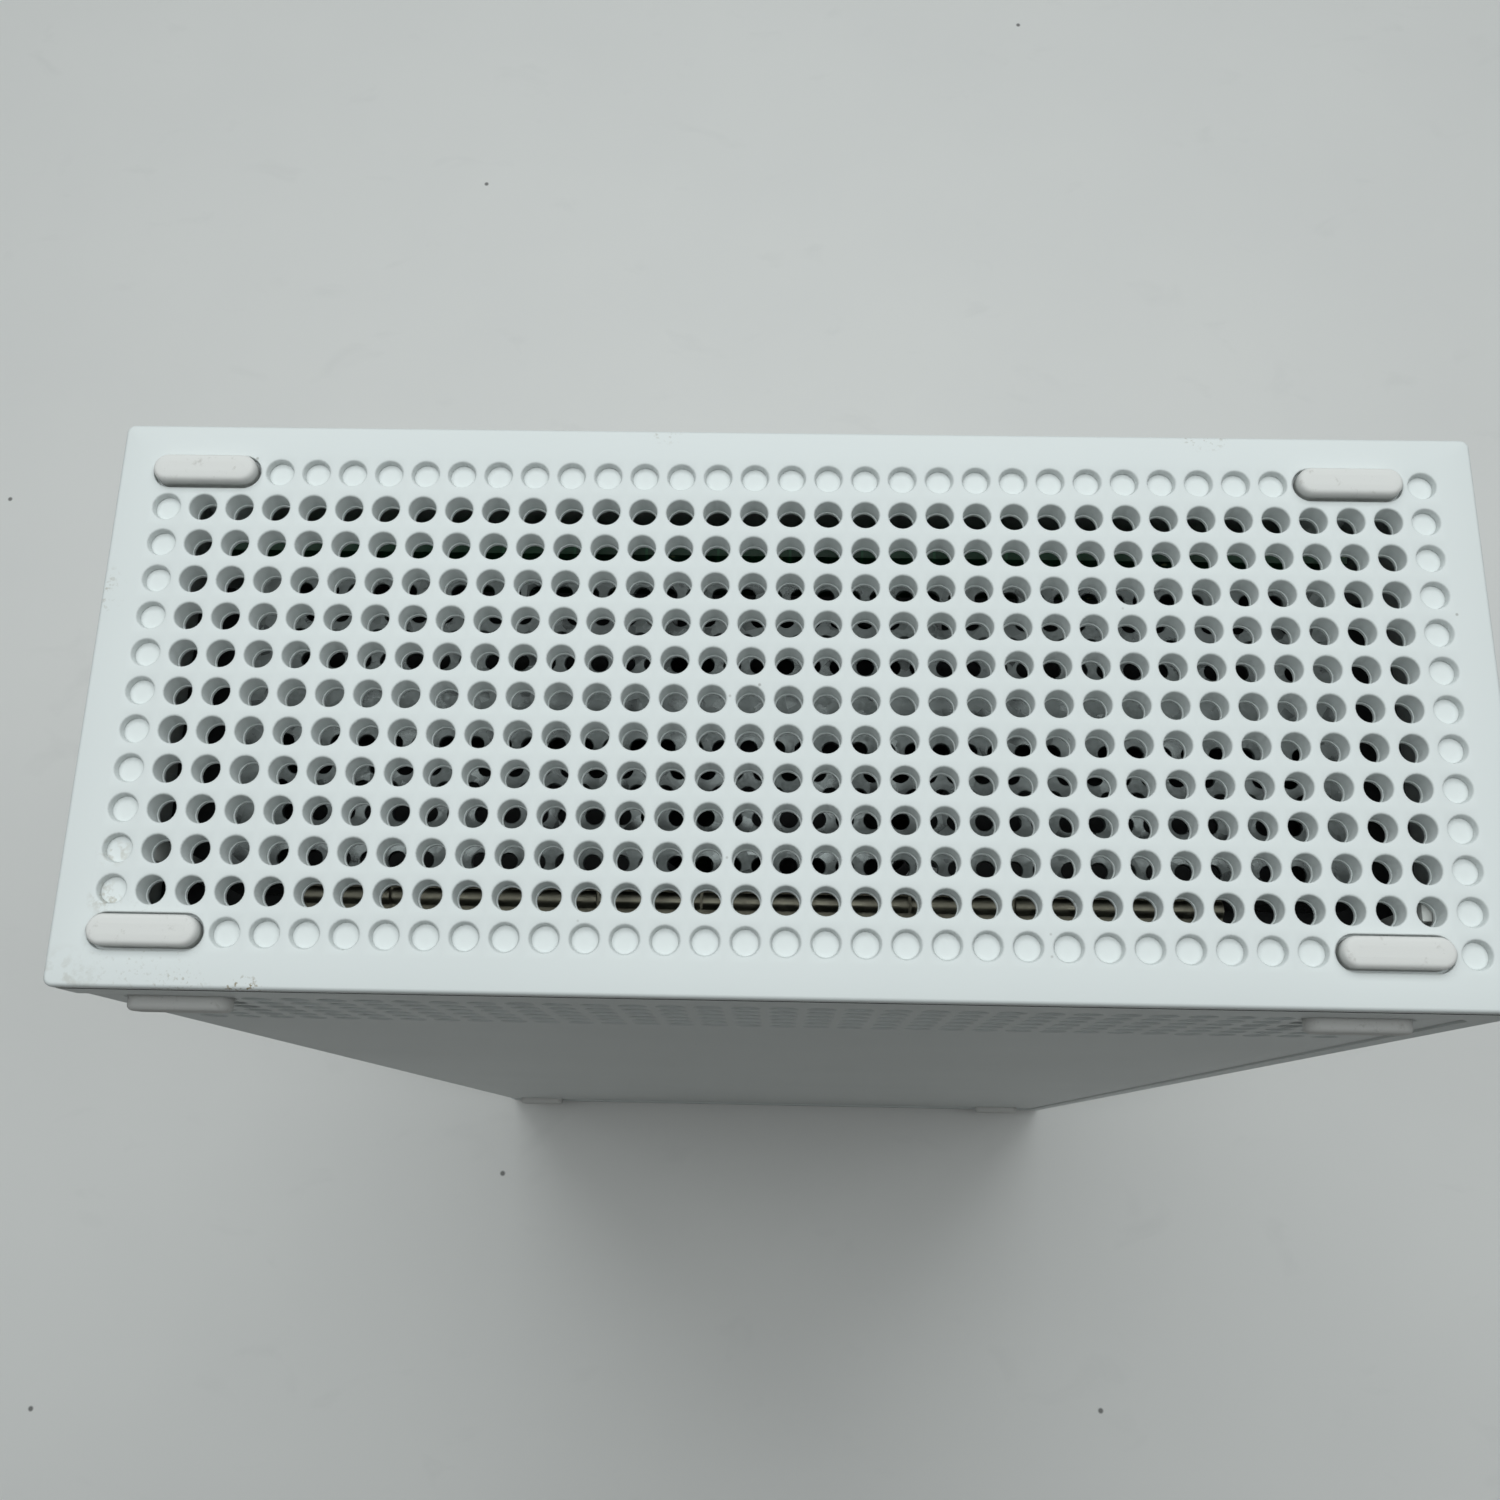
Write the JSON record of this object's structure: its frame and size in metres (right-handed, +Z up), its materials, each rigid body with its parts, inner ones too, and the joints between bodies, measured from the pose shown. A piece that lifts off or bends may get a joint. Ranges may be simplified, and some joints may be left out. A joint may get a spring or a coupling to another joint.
{
  "type": "wireless router",
  "caption": "Slab-shaped tower router with a perforated vented end on rubber feet, a wired socket panel on one narrow side and round buttons on the other.",
  "frame": {"origin": "middle of the bounding box at its base, level with the feet of the plain end that the tower stands on", "axes": "+Z up from the plain end to the vented end with its four feet; +Y from the wide cover with its four feet to the wide back wall; +X from the socket side to the button side"},
  "size_m": [0.151, 0.0646, 0.2826],
  "materials": {
    "white_shell": "fine moulded satin, slightly cool white",
    "foot_rubber": "matt, warm off-white, lightly scuffed",
    "dark_panel": "fine spark-eroded texture",
    "button_plastic": "satin",
    "clear_lens": "clear polished acrylic",
    "socket_plastic": "moulded",
    "nickel": "nickel-plated tinned sheet",
    "board_green": "solder mask over glass epoxy",
    "chip_black": "moulded epoxy",
    "pad_grey": "soft silicone",
    "aluminium": "extruded",
    "galvanised": "zinc-coated sheet, dull",
    "black_sheet": "black electrocoat over steel sheet",
    "fan_black": "moulded",
    "screw_steel": "plated"
  },
  "bodies": {
    "case": {"vent_lid": "white_shell", "main_shell": "white_shell", "wide_cover": "white_shell", "end_foot_1": "foot_rubber", "end_foot_2": "foot_rubber", "end_foot_3": "foot_rubber", "end_foot_4": "foot_rubber", "side_foot_1": "foot_rubber", "side_foot_2": "foot_rubber", "side_foot_3": "foot_rubber", "side_foot_4": "foot_rubber", "base_foot_1": "foot_rubber", "base_foot_2": "foot_rubber", "base_foot_3": "foot_rubber", "base_foot_4": "foot_rubber", "socket_panel": "dark_panel", "fan_frame": "fan_black", "light_pipe": "clear_lens", "status_light": "clear_lens", "wan_socket": "socket_plastic", "lan_socket_1": "socket_plastic", "lan_socket_2": "socket_plastic", "lan_socket_3": "socket_plastic", "lan_socket_4": "socket_plastic", "power_socket": "socket_plastic", "usb_socket": "nickel", "radio_can_1": "nickel", "radio_can_2": "nickel", "antenna_1": "nickel", "antenna_2": "nickel", "antenna_3": "nickel", "antenna_4": "nickel", "main_board": "board_green", "processor": "chip_black", "power_switch": "chip_black", "pairing_switch": "chip_black", "reset_switch": "chip_black", "thermal_pad": "pad_grey", "heat_sink": "aluminium", "vent_shield": "galvanised", "fan_baffle": "black_sheet", "lid_screw_1": "screw_steel", "lid_screw_2": "screw_steel", "lid_screw_3": "screw_steel", "lid_screw_4": "screw_steel", "board_screw_1": "screw_steel", "board_screw_2": "screw_steel", "board_screw_3": "screw_steel", "board_screw_4": "screw_steel", "fan_screw_1": "screw_steel", "fan_screw_2": "screw_steel", "fan_screw_3": "screw_steel", "fan_screw_4": "screw_steel"},
    "rotor": {"fan_rotor": "fan_black"},
    "power_key": {"power_button": "button_plastic"},
    "pairing_key": {"pairing_button": "button_plastic"},
    "reset_key": {"reset_button": "fan_black"}
  },
  "joints": [
    {"name": "fan_spin", "type": "hinge", "parent": "case", "child": "rotor", "pos_m": [0, 0.00005, 0.25355], "axis": [0, 0, 1], "continuous": true},
    {"name": "power_press", "type": "slide", "parent": "case", "child": "power_key", "axis": [-1, 0, 0], "range_m": [0, 0.001], "stiffness_N_per_m": 600},
    {"name": "pairing_press", "type": "slide", "parent": "case", "child": "pairing_key", "axis": [-1, 0, 0], "range_m": [0, 0.001], "stiffness_N_per_m": 500},
    {"name": "reset_press", "type": "slide", "parent": "case", "child": "reset_key", "axis": [1, 0, 0], "range_m": [0, 0.0008], "stiffness_N_per_m": 400}
  ]
}
